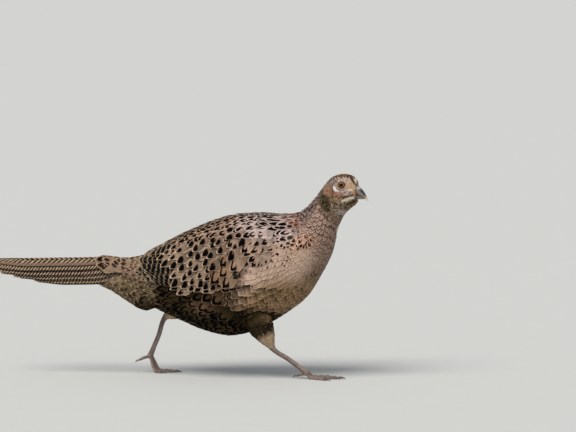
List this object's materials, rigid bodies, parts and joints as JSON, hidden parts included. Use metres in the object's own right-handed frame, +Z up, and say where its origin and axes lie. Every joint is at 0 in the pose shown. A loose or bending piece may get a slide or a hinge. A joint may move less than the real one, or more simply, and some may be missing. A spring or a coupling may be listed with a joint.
{
  "type": "common pheasant hen",
  "caption": "Life-size still model of a hen common pheasant in mid-stride, long tail held level and head turned slightly, standing free on its toes.",
  "frame": {"origin": "on the floor, under the middle of the whole bird's box", "axes": "+X towards the bill, +Y to the bird's left, +Z up"},
  "size_m": [0.5392, 0.1304, 0.2855],
  "materials": {
    "plumage_body": "matte feathers",
    "plumage_wing": "matte feathers",
    "plumage_tail": "matte feathers",
    "plumage_head": "short matte feathers",
    "bill_horn": "satin horn",
    "eye": "wet gloss",
    "leg_skin": "scaled skin",
    "claw_horn": "satin horn"
  },
  "bodies": {
    "root": {"torso": "plumage_body", "neck": "plumage_body", "head": "plumage_head", "bill_upper": "bill_horn", "bill_lower": "bill_horn", "eye_right": "eye", "eye_left": "eye", "wing_right": "plumage_wing", "wing_left": "plumage_wing", "tail": "plumage_tail", "uppertail_coverts": "plumage_body", "undertail_coverts": "plumage_body", "thigh_right": "plumage_body", "thigh_left": "plumage_body", "shank_right": "leg_skin", "shank_left": "leg_skin", "foot_right": "leg_skin", "foot_left": "leg_skin", "claw_middle_right": "claw_horn", "claw_inner_right": "claw_horn", "claw_outer_right": "claw_horn", "claw_hind_right": "claw_horn", "claw_middle_left": "claw_horn", "claw_inner_left": "claw_horn", "claw_outer_left": "claw_horn", "claw_hind_left": "claw_horn"}
  },
  "joints": []
}
